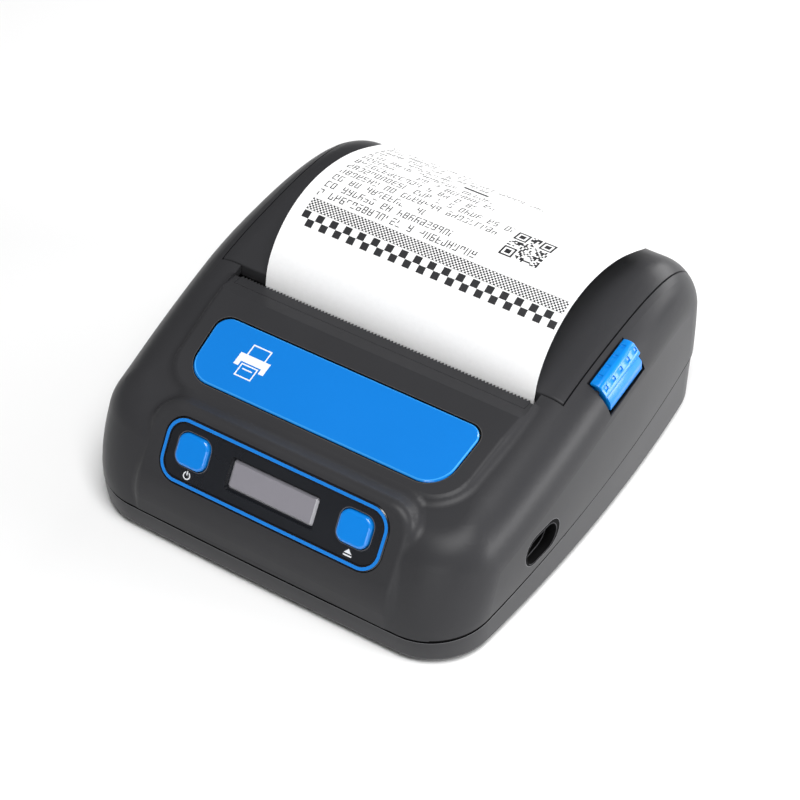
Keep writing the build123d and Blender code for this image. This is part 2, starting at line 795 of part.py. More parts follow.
with BuildPart() as lcd_module:
    lcd_w = window_width + lcd_over
    lcd_h = window_height + lcd_over - 0.6
    add(ring_slab(panel_plane, -lcd_far, -ring_depth, lcd_w, lcd_h, 0.8))
lcd_module.part.label = "lcd_module"
export_step(lcd_module.part, "parts/lcd_module.step")

with BuildPart() as key_board:
    with BuildSketch(panel_plane.offset(key_board_far - key_board_thick)):
        with Locations((0, key_board_shift)):
            RectangleRounded(2 * key_post_x + 5.0, key_board_height, 1.0)
    extrude(amount=key_board_thick)
key_board.part.label = "key_board"
export_step(key_board.part, "parts/key_board.step")

with BuildPart() as key_switches:
    for side in (-1, 1):
        with BuildSketch(panel_plane.offset(key_board_far)):
            with Locations((side * button_x, button_up)):
                RectangleRounded(switch_width, switch_width, 0.6)
        extrude(amount=switch_body)
        with BuildSketch(panel_plane.offset(key_board_far + switch_body)):
            with Locations((side * button_x, button_up)):
                Circle(switch_tip_radius)
        extrude(amount=switch_tip)
key_switches.part.label = "key_switches"
export_step(key_switches.part, "parts/key_switches.step")


def button(side):
    """One push button: domed cap, flange under the panel and a stem over its switch."""
    with BuildPart() as cap:
        with BuildSketch(panel_plane.offset(-button_low)):
            with Locations((side * button_x, button_up)):
                RectangleRounded(button_width, button_height, button_corner)
        extrude(amount=button_low + button_proud)
        crown = cap.faces().sort_by(lambda f: panel_plane.to_local_coords(f.center()).Z)[-1]
        fillet(crown.edges(), button_crown)
        with BuildSketch(panel_plane.offset(-flange_low)):
            with Locations((side * button_x, button_up)):
                RectangleRounded(button_width + flange_wide, button_height + flange_wide, button_corner)
        extrude(amount=flange_low - button_low)
        with BuildSketch(panel_plane.offset(-stem_end)):
            with Locations((side * button_x, button_up)):
                Circle(stem_radius)
        extrude(amount=stem_long)
    return cap.part


with BuildPart() as power_button:
    add(button(-1))
power_button.part.label = "power_button"
export_step(power_button.part, "parts/power_button.step")
with BuildPart() as feed_button:
    add(button(1))
feed_button.part.label = "feed_button"
export_step(feed_button.part, "parts/feed_button.step")

with BuildPart() as badge_plate:
    with BuildSketch(badge_plane.offset(-badge_depth)):
        add(badge_outline(0.0))
    extrude(amount=badge_depth + badge_proud)
    chamfer(badge_plate.faces().sort_by(Axis.Z)[-1].edges(), badge_edge)
badge_plate.part.label = "badge_plate"
export_step(badge_plate.part, "parts/badge_plate.step")

# tear bar with its teeth, on the dip of the deck
bar_angle = atan2(dip_start[1] - tear_edge[1], dip_start[0] - tear_edge[0]) + pi
bar_plane = Plane(
    origin=(0, tear_edge[0], tear_edge[1]),
    x_dir=(1, 0, 0),
    z_dir=(0, -sin(bar_angle), cos(bar_angle)),
)
tooth_pitch = 2 * tear_half / tooth_count
with BuildPart() as tear_bar:
    outline = [(-tear_half, -tear_body), (-tear_half, 0.0)]
    for index in range(tooth_count):
        start_x = -tear_half + index * tooth_pitch
        outline.append((start_x + tooth_pitch / 2, tooth_depth))
        outline.append((start_x + tooth_pitch, 0.0))
    outline.append((tear_half, -tear_body))
    with BuildSketch(bar_plane.offset(-tear_thick)):
        with BuildLine():
            Polyline(*outline, close=True)
        make_face()
    extrude(amount=tear_thick)
tear_bar.part.label = "tear_bar"
export_step(tear_bar.part, "parts/tear_bar.step")

# roll cover: the skin between two case forms, with barrel, skirts, ribs and the arms of the platen
rib_form = case_shape(lid_skin + 1.0)
skirt_wall = 1.6
skirt_front = 4.0
skirt_low = 38.5
front_lip_low = 39.2
with BuildPart() as roll_cover:
    add(outer_form)
    add(box_between(-lid_half, lid_half, lid_front_y, hinge_y, 28.0, sky), mode=Mode.INTERSECT)
    add(lid_inner_form, mode=Mode.SUBTRACT)
    add(box_between(-lid_half, lid_half, lid_front_y, lid_front_y + 1.4, front_lip_low, 42.0))
    for side in (-1, 1):
        near = min(side * lid_half, side * (lid_half - skirt_wall))
        skirt = [(skirt_front, skirt_low), (hinge_y - 2, skirt_low), (hinge_y - 2, 46.0), (skirt_front, 46.0)]
        add(side_slab(skirt, near, near + skirt_wall))
        arm = [(-6.0, 38.0), (-6.0, 44.0), (8.0, 46.0), (8.0, 41.5), (1.4, 34.6)]
        arm_near = min(side * arm_inner, side * (arm_inner + arm_width))
        add(side_slab(arm, arm_near, arm_near + arm_width))
        add(rod_between(arm_near, arm_near + arm_width, platen_y, platen_z, arm_radius))
    add(rod_between(-lid_half, lid_half, hinge_y, hinge_z, barrel_radius))
    add(outer_form, mode=Mode.INTERSECT)
    web_xs = [-lid_half, -24.0, -1.5, 21.0, lid_half - 3.0]
    for left, right in zip(web_xs[:-1], web_xs[1:]):
        add(rod_between(left + 3.0, right, hinge_y, hinge_z, barrel_radius - barrel_wall), mode=Mode.SUBTRACT)
    add(rod_between(-lid_half, lid_half, hinge_y, hinge_z, rod_radius + running), mode=Mode.SUBTRACT)
    for side in (-1, 1):
        arm_near = min(side * arm_inner, side * (arm_inner + arm_width))
        bore = rod_between(arm_near, arm_near + arm_width, platen_y, platen_z, bearing_radius)
        add(bore, mode=Mode.SUBTRACT)
with BuildPart() as cover_ribs:
    for x in (-22.0, 0.0, 22.0):
        add(box_between(x - 0.6, x + 0.6, 8.0, 44.0, 40.0, sky))
    add(outer_form, mode=Mode.INTERSECT)
    add(rib_form, mode=Mode.SUBTRACT)
with BuildPart() as cover_whole:
    add(roll_cover.part)
    add(cover_ribs.part)
    lip = cover_whole.edges().filter_by(
        lambda e: abs(e.center().Y - lid_front_y) < 0.02 and e.center().Z > 42 and e.length > 80
    )
    fillet(lip, 0.6)
cover_whole.part.label = "roll_cover"
export_step(cover_whole.part, "parts/roll_cover.step")

rod_end = lid_half + lid_gap + cheek_wall
with BuildPart() as hinge_rod:
    add(rod_between(-rod_end, rod_end, hinge_y, hinge_z, rod_radius))
hinge_rod.part.label = "hinge_rod"
export_step(hinge_rod.part, "parts/hinge_rod.step")

# platen
with BuildPart() as platen_roller:
    add(rod_between(platen_left, platen_right, platen_y, platen_z, platen_radius))
    add(rod_between(platen_left, platen_right, platen_y, platen_z, platen_shaft_radius), mode=Mode.SUBTRACT)
platen_roller.part.label = "platen_roller"
export_step(platen_roller.part, "parts/platen_roller.step")

shaft_left = gear_left - 0.2
shaft_right = arm_inner + arm_width + 1.0
with BuildPart() as platen_shaft:
    add(rod_between(shaft_left, shaft_right, platen_y, platen_z, platen_shaft_radius))
platen_shaft.part.label = "platen_shaft"
export_step(platen_shaft.part, "parts/platen_shaft.step")

with BuildPart() as platen_bearings:
    for side in (-1, 1):
        arm_near = min(side * arm_inner, side * (arm_inner + arm_width))
        add(rod_between(arm_near, arm_near + arm_width, platen_y, platen_z, bearing_radius))
    bore_radius = platen_shaft_radius + running
    add(rod_between(-60, 60, platen_y, platen_z, bore_radius), mode=Mode.SUBTRACT)
platen_bearings.part.label = "platen_bearings"
export_step(platen_bearings.part, "parts/platen_bearings.step")


def mesh_turn(turn, teeth, angle, next_teeth):
    """Tooth angle of a gear that meshes, at the given angle, with one whose tooth stands at turn."""
    pitch = 360.0 / teeth
    offset = ((turn - angle) / pitch) % 1.0
    return angle + 180.0 - (offset + 0.5) * 360.0 / next_teeth


def gear(teeth, y, z, turn, bore):
    """Spur gear with tapered teeth across X; turn is the angle of one tooth from +Y, in degrees."""
    pitch_radius = gear_module * teeth / 2
    tip_radius = pitch_radius + 0.85 * gear_module
    root_radius = pitch_radius - 1.15 * gear_module
    pitch = 2 * pi / teeth
    points = []
    for index in range(teeth):
        middle = radians(turn) + index * pitch
        for radius, share in ((root_radius, -0.3), (tip_radius, -0.11), (tip_radius, 0.11), (root_radius, 0.3)):
            angle = middle + share * pitch
            points.append((y + radius * cos(angle), z + radius * sin(angle)))
    with BuildPart() as wheel:
        with BuildSketch(Plane.YZ.offset(gear_left)):
            with BuildLine():
                Polyline(*points, close=True)
            make_face()
            with Locations((y, z)):
                Circle(bore, mode=Mode.SUBTRACT)
        extrude(amount=gear_width)
    return wheel.part


idler_distance = gear_module * (platen_teeth + idler_teeth) / 2
idler_y = platen_y
idler_z = platen_z - idler_distance
motor_distance = gear_module * (idler_teeth + pinion_teeth) / 2
motor_y = idler_y + motor_distance * cos(radians(motor_angle))
motor_z = idler_z + motor_distance * sin(radians(motor_angle))
platen_turn = 270.0
idler_turn = mesh_turn(platen_turn, platen_teeth, 270.0, idler_teeth)
pinion_turn = mesh_turn(idler_turn, idler_teeth, motor_angle, pinion_teeth)
axle_radius = 1.5
with BuildPart() as platen_gear:
    add(gear(platen_teeth, platen_y, platen_z, platen_turn, platen_shaft_radius))
platen_gear.part.label = "platen_gear"
export_step(platen_gear.part, "parts/platen_gear.step")

with BuildPart() as idler_gear:
    add(gear(idler_teeth, idler_y, idler_z, idler_turn, axle_radius + running))
idler_gear.part.label = "idler_gear"
export_step(idler_gear.part, "parts/idler_gear.step")

frame_x = 44.0
frame_thick = 1.2
with BuildPart() as motor_pinion:
    add(gear(pinion_teeth, motor_y, motor_z, pinion_turn, motor_shaft_radius - 0.2))
    add(rod_between(gear_left, -frame_x + 2.0, motor_y, motor_z, motor_shaft_radius))
motor_pinion.part.label = "motor_pinion"
export_step(motor_pinion.part, "parts/motor_pinion.step")

with BuildPart() as idler_axle:
    add(rod_between(gear_left - 0.4, -frame_x, idler_y, idler_z, axle_radius))
idler_axle.part.label = "idler_axle"
export_step(idler_axle.part, "parts/idler_axle.step")

with BuildPart() as stepper_motor:
    add(rod_between(-frame_x, -frame_x + motor_length, motor_y, motor_z, motor_radius))
    chamfer(stepper_motor.edges().filter_by(GeomType.CIRCLE), 0.6)
    bore_radius = motor_shaft_radius + running
    add(rod_between(-frame_x, -frame_x + 2.4, motor_y, motor_z, bore_radius), mode=Mode.SUBTRACT)
stepper_motor.part.label = "stepper_motor"
export_step(stepper_motor.part, "parts/stepper_motor.step")

bridge_y = -14.5
head_face_y = platen_y - platen_radius - head_gap
with BuildPart() as mechanism_frame:
    plate_back = [(8.0, floor_top), (8.0, 12.0), (3.0, 30.2), (bridge_y, 30.2)]
    left_plate = [(-19.0, floor_top)] + plate_back + [(-19.0, 23.0)]
    right_plate = [(bridge_y, floor_top)] + plate_back
    add(side_slab(left_plate, -frame_x - frame_thick, -frame_x))
    add(side_slab(right_plate, frame_x, frame_x + frame_thick))
    bridge_half = frame_x + frame_thick
    add(box_between(-bridge_half, bridge_half, bridge_y, bridge_y + frame_thick, 28.5, head_high))
    add(rod_between(-frame_x - 2, -frame_x + 1, motor_y, motor_z, 2.0), mode=Mode.SUBTRACT)
    add(rod_between(-frame_x - 2, -frame_x + 1, idler_y, idler_z, axle_radius), mode=Mode.SUBTRACT)
mechanism_frame.part.label = "mechanism_frame"
export_step(mechanism_frame.part, "parts/mechanism_frame.step")

ceramic_back = head_face_y - head_ceramic
cooler_back = ceramic_back - head_plate_thick
with BuildPart() as thermal_head:
    add(box_between(-head_half, head_half, ceramic_back, head_face_y, head_low + 1.0, head_high))
    chamfer(thermal_head.edges().group_by(Axis.Z)[-1].sort_by(Axis.Y)[-1], 0.3)
thermal_head.part.label = "thermal_head"
export_step(thermal_head.part, "parts/thermal_head.step")
with BuildPart() as head_plate:
    add(box_between(-head_half, head_half, cooler_back, ceramic_back, head_low, head_high))
    with BuildSketch(Plane.XZ.offset(-cooler_back)):
        with GridLocations(26.0, 0, 3, 1):
            with Locations((0, head_low + 2.0)):
                SlotOverall(12.0, 1.6)
    extrude(amount=-1.0, mode=Mode.SUBTRACT)
head_plate.part.label = "head_plate"
export_step(head_plate.part, "parts/head_plate.step")
spring_back = bridge_y + frame_thick
spring_z = (head_low + head_high) / 2
with BuildPart() as head_spring:
    leaf = 0.25
    bent = [(spring_back, spring_z - 3.4), (cooler_back, spring_z - 0.6), (cooler_back, spring_z + 0.6)]
    bent += [(spring_back, spring_z + 3.4), (spring_back, spring_z + 3.4 - 2 * leaf)]
    bent += [(cooler_back - leaf, spring_z + 0.6 - leaf / 2), (cooler_back - leaf, spring_z - 0.6 + leaf / 2)]
    bent += [(spring_back, spring_z - 3.4 + 2 * leaf)]
    for x in (-22.0, 22.0):
        add(side_slab(bent, x - 8, x + 8))
head_spring.part.label = "head_spring"
export_step(head_spring.part, "parts/head_spring.step")

# paper roll, its core and the tray that it lies in
with BuildPart() as paper_roll:
    add(rod_between(paper_left, paper_right, roll_y, roll_z, roll_radius))
    add(rod_between(paper_left, paper_right, roll_y, roll_z, core_radius), mode=Mode.SUBTRACT)
    chamfer(paper_roll.edges().filter_by(GeomType.CIRCLE).group_by(SortBy.RADIUS)[-1], 0.2)
paper_roll.part.label = "paper_roll"
export_step(paper_roll.part, "parts/paper_roll.step")
with BuildPart() as roll_core:
    add(rod_between(paper_left, paper_right, roll_y, roll_z, core_radius))
    add(rod_between(paper_left, paper_right, roll_y, roll_z, core_bore), mode=Mode.SUBTRACT)
roll_core.part.label = "roll_core"
export_step(roll_core.part, "parts/roll_core.step")

web_at_roll = roll_radius + 0.3
web_at_platen = platen_radius + 0.36
span = hypot(roll_y - platen_y, roll_z - platen_z)
span_angle = degrees(atan2(platen_z - roll_z, platen_y - roll_y))
radius_step = web_at_roll - web_at_platen
from_span = degrees(atan2(sqrt(span**2 - radius_step**2), -radius_step))
lean = radians(span_angle - from_span)
lean_y = cos(lean)
lean_z = sin(lean)
ramp_top = 28.6
tray_radius = roll_radius + tray_gap
tray_end = 350.0
tray_top = 30.0


def around(z, radius, angle):
    """Point at a radius and an angle round an axis at this height, level with the paper roll."""
    return (roll_y + radius * cos(radians(angle)), z + radius * sin(radians(angle)))


def ramp_point(radius, height):
    """Point of the ramp line that touches the circle of this radius, at a height."""
    reach = roll_y * lean_y + tray_z * lean_z - radius
    return ((reach - height * lean_z) / lean_y, height)


ramp_angle = degrees(lean) + 180.0
tray_sweep = tray_end - ramp_angle
inner_low = around(tray_z, tray_radius, ramp_angle)
inner_high = around(tray_z, tray_radius, tray_end)
outer_radius = tray_radius + tray_skin
outer_low = around(tray_z, outer_radius, ramp_angle)
outer_high = around(tray_z, outer_radius, tray_end)
with BuildPart() as roll_tray:
    with BuildSketch(Plane.YZ.offset(-tray_half)):
        with BuildLine():
            Line(ramp_point(tray_radius, ramp_top), inner_low)
            CenterArc((roll_y, tray_z), tray_radius, ramp_angle, tray_sweep)
            Polyline(inner_high, (inner_high[0], tray_top), (outer_high[0], tray_top), outer_high)
            CenterArc((roll_y, tray_z), outer_radius, ramp_angle, tray_sweep)
            Polyline(outer_low, ramp_point(outer_radius, ramp_top), ramp_point(tray_radius, ramp_top))
        make_face()
    extrude(amount=2 * tray_half)
    for near in (-tray_half, tray_half - tray_skin):
        with BuildSketch(Plane.YZ.offset(near)):
            with BuildLine():
                Line(ramp_point(tray_radius, ramp_top), inner_low)
                CenterArc((roll_y, tray_z), tray_radius, ramp_angle, tray_sweep)
                Polyline(inner_high, (inner_high[0], tray_top), ramp_point(tray_radius, ramp_top))
            make_face()
        extrude(amount=tray_skin)
roll_tray.part.label = "roll_tray"
export_step(roll_tray.part, "parts/roll_tray.step")


def strip_points(points, thickness):
    """Two point rows, half a thickness to either side of a row of points."""
    left = []
    right = []
    for index, (y, z) in enumerate(points):
        before = points[max(index - 1, 0)]
        after = points[min(index + 1, len(points) - 1)]
        run = hypot(after[0] - before[0], after[1] - before[1])
        side_y = -(after[1] - before[1]) / run * thickness / 2
        side_z = (after[0] - before[0]) / run * thickness / 2
        left.append((y + side_y, z + side_z))
        right.append((y - side_y, z - side_z))
    return left, right


web = [around(roll_z, web_at_roll, ramp_angle)]
for step in range(7):
    angle = radians(ramp_angle + (180.0 - ramp_angle) * step / 6)
    web.append((platen_y + web_at_platen * cos(angle), platen_z + web_at_platen * sin(angle)))
web.append((platen_y - web_at_platen, platen_z + 0.9))
web.append((-7.6, 39.1))
web.append((curl_line[0][0], curl_line[0][1] - 0.2))
web_left, web_right = strip_points(web, paper_thick)
with BuildPart() as paper_web:
    with BuildSketch(Plane.YZ.offset(paper_left)):
        with BuildLine():
            Polyline(*web_left, *reversed(web_right), close=True)
        make_face()
    extrude(amount=paper_right - paper_left)
paper_web.part.label = "paper_web"
export_step(paper_web.part, "parts/paper_web.step")

curl_left, curl_right = strip_points(curl_line, paper_thick)
with BuildPart() as paper_tongue:
    with BuildSketch(Plane.YZ.offset(paper_left)):
        with BuildLine():
            Spline(curl_left)
            Line(curl_left[-1], curl_right[-1])
            Spline(curl_right)
            Line(curl_right[0], curl_left[0])
        make_face()
    extrude(amount=paper_right - paper_left)
paper_tongue.part.label = "paper_tongue"
export_step(paper_tongue.part, "parts/paper_tongue.step")
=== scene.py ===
import math

import bpy
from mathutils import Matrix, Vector


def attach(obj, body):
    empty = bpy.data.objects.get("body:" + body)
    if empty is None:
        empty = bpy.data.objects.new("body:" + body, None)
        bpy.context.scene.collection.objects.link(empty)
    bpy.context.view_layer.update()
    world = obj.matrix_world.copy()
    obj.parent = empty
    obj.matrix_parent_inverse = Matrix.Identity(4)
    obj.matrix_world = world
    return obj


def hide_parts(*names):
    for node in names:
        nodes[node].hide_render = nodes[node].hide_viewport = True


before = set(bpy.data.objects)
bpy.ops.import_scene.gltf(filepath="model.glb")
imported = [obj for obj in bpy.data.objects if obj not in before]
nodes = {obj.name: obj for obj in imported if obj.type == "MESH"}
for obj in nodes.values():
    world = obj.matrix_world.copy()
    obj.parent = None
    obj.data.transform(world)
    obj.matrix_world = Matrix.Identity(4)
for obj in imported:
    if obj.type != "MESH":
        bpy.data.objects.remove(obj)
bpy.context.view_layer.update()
bpy.ops.object.select_all(action="DESELECT")

# the printer's own sizes are written in millimetres, and mm brings them to metres
mm = 0.001

# camera at the photograph's angle
camera_turn = (math.radians(48.5), 0.0, math.radians(33.17))
bpy.ops.object.camera_add(location=(0.2406, -0.3774, 0.4300), rotation=camera_turn)
camera = bpy.context.active_object
camera.data.lens = 110.5
camera.data.sensor_width = 36.0
camera.data.shift_x = 0.0227
camera.data.shift_y = -0.0777
bpy.context.scene.camera = camera
bpy.context.scene.view_settings.view_transform = "Standard"


class Sock:
    """A socket of a shader node that can be used in Python arithmetic."""

    def __init__(self, kit, socket):
        self.kit = kit
        self.socket = socket

    def _math(self, operation, a, b=0.0):
        return self.kit.node("ShaderNodeMath", {"operation": operation}, {0: a, 1: b})

    def __add__(self, other):
        return self._math("ADD", self, other)

    __radd__ = __add__

    def __sub__(self, other):
        return self._math("SUBTRACT", self, other)

    def __rsub__(self, other):
        return self._math("SUBTRACT", other, self)

    def __mul__(self, other):
        return self._math("MULTIPLY", self, other)

    __rmul__ = __mul__

    def __truediv__(self, other):
        return self._math("DIVIDE", self, other)

    def __rtruediv__(self, other):
        return self._math("DIVIDE", other, self)

    def __mod__(self, other):
        return self._math("FLOORED_MODULO", self, other)

    def __rmod__(self, other):
        return self._math("FLOORED_MODULO", other, self)

    def __gt__(self, other):
        return self._math("GREATER_THAN", self, other)

    def __lt__(self, other):
        return self._math("LESS_THAN", self, other)

    def __abs__(self):
        return self._math("ABSOLUTE", self)

    def floor(self):
        return self._math("FLOOR", self)

    def root(self):
        return self._math("SQRT", self)

    def larger(self, other):
        return self._math("MAXIMUM", self, other)

    def smaller(self, other):
        return self._math("MINIMUM", self, other)


class Finish:
    """One material: its tree, its object coordinates and its shader."""

    def __init__(self, name, rough=0.5, metal=0.0, coat=0.0, specular=0.5):
        self.material = bpy.data.materials.new(name)
        self.material.use_nodes = True
        self.tree = self.material.node_tree
        self.shader = self.tree.nodes["Principled BSDF"]
        self.shader.inputs["Roughness"].default_value = rough
        self.shader.inputs["Metallic"].default_value = metal
        self.shader.inputs["Coat Weight"].default_value = coat
        self.shader.inputs["Coat Roughness"].default_value = 0.12
        self.shader.inputs["Specular IOR Level"].default_value = specular
        self.place = self.node("ShaderNodeTexCoord", {}, {}, "Object")

    def node(self, kind, settings, inputs, output=0):
        """A node with its settings and the values or links of its sockets."""
        made = self.tree.nodes.new(kind)
        for key, value in settings.items():
            setattr(made, key, value)
        for key, value in inputs.items():
            if isinstance(value, Sock):
                self.tree.links.new(value.socket, made.inputs[key])
            else:
                made.inputs[key].default_value = value
        return Sock(self, made.outputs[output])

    def split(self, vector):
        """The three numbers of a vector."""
        first = self.node("ShaderNodeSeparateXYZ", {}, {0: vector})
        return [Sock(self, output) for output in first.socket.node.outputs]

    def axes(self):
        """X, Y and Z in millimetres."""
        return [part * 1000.0 for part in self.split(self.place)]

    def noise(self, scale, detail=2.0, rough=0.5, vector=None):
        """Soft noise, in object coordinates unless another vector is given."""
        inputs = {
            "Vector": vector or self.place,
            "Scale": scale,
            "Detail": detail,
            "Roughness": rough,
        }
        return self.node("ShaderNodeTexNoise", {}, inputs)

    def mix(self, mask, low, high):
        """Colour from low to high by a mask."""
        return self.node("ShaderNodeMix", {"data_type": "RGBA"}, {0: mask, 6: low, 7: high}, 2)

    def bump(self, height, strength, distance):
        """Relief in the surface, from a height."""
        inputs = {"Height": height, "Strength": strength, "Distance": distance}
        self.set("Normal", self.node("ShaderNodeBump", {}, inputs))

    def set(self, name, value):
        """Feeds a socket of the shader."""
        self.tree.links.new(value.socket, self.shader.inputs[name])

    def under(self, name):
        """What feeds a socket of the shader so far."""
        return Sock(self, self.shader.inputs[name].links[0].from_socket)


def rgb(r, g, b):
    """A colour written as it looks on screen, 0 to 255, as linear values."""
    made = []
    for value in (r, g, b):
        c = value / 255.0
        made.append(c / 12.92 if c <= 0.04045 else ((c + 0.055) / 1.055) ** 2.4)
    return (made[0], made[1], made[2], 1.0)


def shade(colour, factor):
    """The same colour, darker or lighter."""
    return tuple(c * factor for c in colour[:3]) + (1.0,)


# depth of the grain in a surface
polish = 0.01 * mm
fine_grain = 0.02 * mm
soft_grain = 0.03 * mm
card_grain = 0.05 * mm

# cloudiness of moulded plastic: its scale, and how far it changes the gloss
cloud_scale = 38.0
cloud_gloss = 0.1


def moulded(name, colour, rough, grain, depth, coat=0.0, vary=0.12, specular=0.5):
    """Moulded plastic: fine grain, faint cloudiness in colour and gloss."""
    f = Finish(name, rough=rough, coat=coat, specular=specular)
    cloud = f.noise(cloud_scale, 3.0)
    f.set("Base Color", f.mix(cloud, shade(colour, 1.0 - vary), shade(colour, 1.0 + vary)))
    f.set("Roughness", cloud * cloud_gloss + (rough - cloud_gloss / 2))
    f.bump(f.noise(grain, 2.0, 0.6), 0.35, depth)
    return f


def metal(name, colour, rough, stretch=(1.0, 1.0, 1.0)):
    """Plain metal with a drawn grain."""
    f = Finish(name, rough=rough, metal=1.0)
    stretched = f.node("ShaderNodeMapping", {}, {"Vector": f.place, "Scale": stretch})
    drawn = f.noise(900.0, vector=stretched)
    f.set("Base Color", f.mix(drawn, shade(colour, 0.86), colour))
    f.set("Roughness", drawn * 0.14 + (rough - 0.06))
    f.bump(drawn, 0.15, fine_grain)
    return f


def recolour(f, mask, colour):
    """Lays a second colour over the base colour where a mask is 1."""
    f.set("Base Color", f.mix(mask, f.under("Base Color"), colour))


def dull(f, mask, rough=0.95):
    """Raises the roughness where a mask is 1."""
    f.set("Roughness", f.under("Roughness").larger(mask * rough))


def between(value, low, high):
    """1 where a value lies between two limits."""
    return (value > low) * (value < high)


def box_mask(x, y, left, right, low, high):
    """1 inside a rectangle."""
    return between(x, left, right) * between(y, low, high)


def frame_mask(x, y, left, right, low, high, line):
    """1 on the outline of a rectangle."""
    inner = box_mask(x, y, left + line, right - line, low + line, high - line)
    return box_mask(x, y, left, right, low, high) * (1.0 - inner)


def edge_distance(u, v, half_u, half_v, corner):
    """Distance from the outline of a rounded rectangle, less than 0 inside."""
    over_u = abs(u) - (half_u - corner)
    over_v = abs(v) - (half_v - corner)
    out_u = over_u.larger(0.0)
    out_v = over_v.larger(0.0)
    return (out_u * out_u + out_v * out_v).root() + over_u.larger(over_v).smaller(0.0) - corner


def up_slope(y, z, middle, lean):
    """Distance up a sloping face from its middle, which is given in Y and Z."""
    return (y - middle[0]) * math.cos(lean) + (z - middle[1]) * math.sin(lean)


case_dark = moulded("case_dark", rgb(52, 52, 54), 0.37, 2600.0, fine_grain, specular=0.14)
case_low = moulded("case_low", rgb(56, 56, 58), 0.40, 2600.0, fine_grain, specular=0.18)
trim_blue = moulded("blue_gloss", rgb(26, 122, 210), 0.22, 1500.0, polish, coat=0.3, vary=0.04)
lever_blue = moulded(
    "lever_blue", rgb(2, 126, 214), 0.30, 1500.0, polish, coat=0.1, vary=0.05, specular=0.4
)
key_blue = moulded("button_blue", rgb(4, 126, 218), 0.22, 1500.0, polish, coat=0.4, vary=0.04)
badge_blue = moulded("badge_blue", rgb(14, 122, 211), 0.20, 1500.0, polish, coat=0.2, vary=0.03)
panel = moulded("panel_face", rgb(24, 26, 31), 0.28, 2200.0, polish, coat=0.2)
screen = moulded("lcd_window", rgb(134, 132, 139), 0.25, 300.0, polish, coat=0.6, vary=0.03)
display_black = moulded("panel_black", rgb(38, 40, 44), 0.30, 2200.0, polish, coat=0.2)
tray_black = moulded("tray_black", rgb(40, 40, 41), 0.55, 1800.0, fine_grain)
switch_black = moulded("switch_black", rgb(30, 30, 30), 0.5, 1800.0, fine_grain)
nylon = moulded("nylon_white", rgb(226, 222, 208), 0.45, 1800.0, fine_grain, vary=0.04)
rubber = moulded("rubber", rgb(36, 36, 37), 0.75, 1400.0, soft_grain)
sleeve = moulded("battery_wrap", rgb(40, 86, 140), 0.3, 900.0, fine_grain, coat=0.3)
glaze = moulded("ceramic", rgb(190, 176, 158), 0.25, 1500.0, polish, coat=0.5, vary=0.06)
card = moulded("core_card", rgb(150, 122, 92), 0.8, 700.0, card_grain, vary=0.2)
steel = metal("steel", rgb(196, 196, 198), 0.30, (0.05, 1.0, 1.0))
plated = metal("motor_steel", rgb(180, 180, 182), 0.38)
aluminium = metal("aluminium", rgb(208, 209, 212), 0.42, (0.04, 1.0, 1.0))
brass = metal("brass", rgb(206, 168, 92), 0.3)

# circuit boards: green solder mask, with its traces a little paler
board = Finish("board_green", rough=0.35, coat=0.3)
lane_settings = {"feature": "F1", "distance": "CHEBYCHEV"}
lane_inputs = {"Vector": board.place, "Scale": 420.0}
traces = board.node("ShaderNodeTexVoronoi", lane_settings, lane_inputs) > 0.42
board.set("Base Color", board.mix(traces, rgb(22, 84, 48), rgb(34, 112, 62)))
board.bump(traces, 0.3, soft_grain)

# lower case: painted shade makes the groove under the seam dark all round, with a painted
# highlight as a light line on its edge
seam_slope = 0.08
groove_foot = 12.53
groove_line = 0.17
deep_shade = rgb(4, 4, 5)
low_y, low_z = case_low.axes()[1:]
seam_height = low_z - low_y * seam_slope
painted_groove_shade = seam_height > groove_foot
painted_edge_highlight = between(seam_height, groove_foot - groove_line, groove_foot)
recolour(case_low, painted_edge_highlight, rgb(96, 96, 99))
recolour(case_low, painted_groove_shade, deep_shade)
dull(case_low, painted_groove_shade)

# upper case: its edge over the groove is in shadow, a little higher on the lever's side
shadow_top = 13.42
shadow_more = 0.25
case_x, case_y, case_z = case_dark.axes()
lever_side = case_x > 46.0
under_edge = (case_z - case_y * seam_slope) < lever_side * shadow_more + shadow_top
recolour(case_dark, under_edge, deep_shade)
dull(case_dark, under_edge)

# charging port: painted shade on the chamfer and walls, with painted highlights as fine light
# lines on their edges
mouth_y = -27.5
mouth_z = 18.0
mouth_half_wide = 6.0
mouth_half_high = 3.8
chamfer_y = -27.1
chamfer_z = 18.1
chamfer_half_wide = 7.0
chamfer_half_high = 4.5
from_mouth = edge_distance(
    case_y - mouth_y, case_z - mouth_z, mouth_half_wide, mouth_half_high, mouth_half_high
)
from_chamfer = edge_distance(
    case_y - chamfer_y, case_z - chamfer_z, chamfer_half_wide, chamfer_half_high, chamfer_half_high
)
on_side = case_x > 50.0
painted_port_shade = on_side * (from_chamfer < 0.0)
painted_chamfer_highlight = on_side * between(from_chamfer, 0.0, 0.14)
past_front_end = case_y - mouth_y > -5.0
painted_mouth_highlight = on_side * between(from_mouth, 0.04, 0.2) * past_front_end
painted_ledge_highlight = on_side * (from_mouth < 0.03) * between(case_x, 53.6, 53.85)
recolour(case_dark, painted_chamfer_highlight, rgb(104, 104, 107))
recolour(case_dark, painted_port_shade, rgb(5, 5, 6))
dull(case_dark, painted_port_shade)
recolour(case_dark, painted_mouth_highlight, rgb(74, 74, 77))
recolour(case_dark, painted_ledge_highlight, rgb(96, 96, 99))

# badge: a plain pictogram of a sheet that leaves a slot, and a painted highlight along its edge
badge_middle = (-31.5, 37.85)
badge_lean = math.atan2(4.9, 18.2)
badge_half_wide = 36.6
badge_half_high = 9.42
badge_taper = 0.0743
front_corner = 6.8
rear_corner = 3.8
sign_line = 0.35


